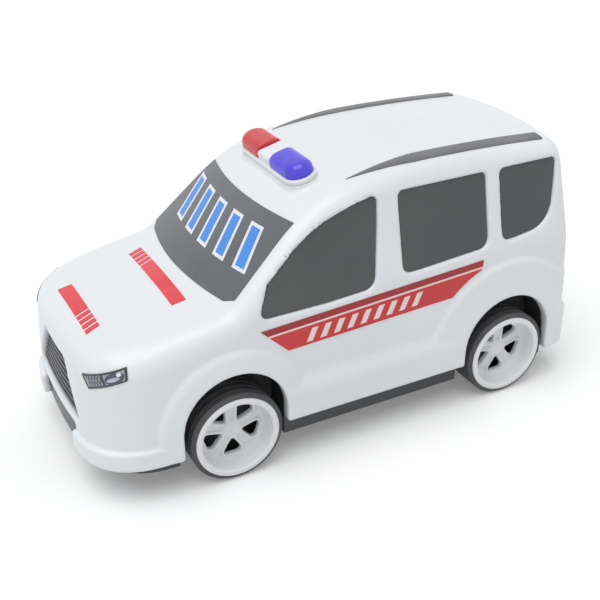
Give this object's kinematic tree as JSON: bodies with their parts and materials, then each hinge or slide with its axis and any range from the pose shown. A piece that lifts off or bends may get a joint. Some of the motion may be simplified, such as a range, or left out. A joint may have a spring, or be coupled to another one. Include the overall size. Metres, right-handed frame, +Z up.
{
  "type": "toy ambulance",
  "caption": "Free-wheeling plastic toy ambulance: thin white van body with smoked windows, red bands and a red and blue light bar, on a black chassis with dished spoked wheels.",
  "frame": {"origin": "on the ground under the tyres, at the middle of the overall length and width", "axes": "+X towards the nose, +Y towards the car's left side, +Z up"},
  "size_m": [0.2886, 0.133, 0.1519],
  "materials": {
    "body_white": "gloss",
    "chassis_black": "satin",
    "grille_black": "satin",
    "smoked_window": "gloss",
    "screen_print": "gloss",
    "red_print": "gloss",
    "lamp_print": "gloss",
    "red_lens": "gloss",
    "blue_lens": "gloss",
    "rail_grey": "satin",
    "axle_steel": "bright",
    "tyre_black": "satin",
    "rim_white": "gloss",
    "screw_steel": "bright"
  },
  "bodies": {
    "car": {"body_shell": "body_white", "chassis": "chassis_black", "grille_insert": "grille_black", "window_panel_left": "smoked_window", "window_panel_right": "smoked_window", "rear_window_panel": "smoked_window", "windscreen_sticker": "screen_print", "bonnet_stickers": "red_print", "side_sticker_left": "red_print", "side_sticker_right": "red_print", "headlamp_sticker_left": "lamp_print", "headlamp_sticker_right": "lamp_print", "light_bar_base": "body_white", "light_bar_red_lens": "red_lens", "light_bar_blue_lens": "blue_lens", "roof_rail_left": "rail_grey", "roof_rail_right": "rail_grey", "chassis_screws": "screw_steel"},
    "front_wheelset": {"front_axle": "axle_steel", "front_left_tyre": "tyre_black", "front_right_tyre": "tyre_black", "front_left_rim": "rim_white", "front_right_rim": "rim_white"},
    "rear_wheelset": {"rear_axle": "axle_steel", "rear_left_tyre": "tyre_black", "rear_right_tyre": "tyre_black", "rear_left_rim": "rim_white", "rear_right_rim": "rim_white"}
  },
  "joints": [
    {"name": "front_axle_spin", "type": "hinge", "parent": "car", "child": "front_wheelset", "pos_m": [0.06975, 0, 0.025], "axis": [0, 1, 0], "continuous": true},
    {"name": "rear_axle_spin", "type": "hinge", "parent": "car", "child": "rear_wheelset", "pos_m": [-0.09525, 0, 0.025], "axis": [0, 1, 0], "continuous": true}
  ]
}
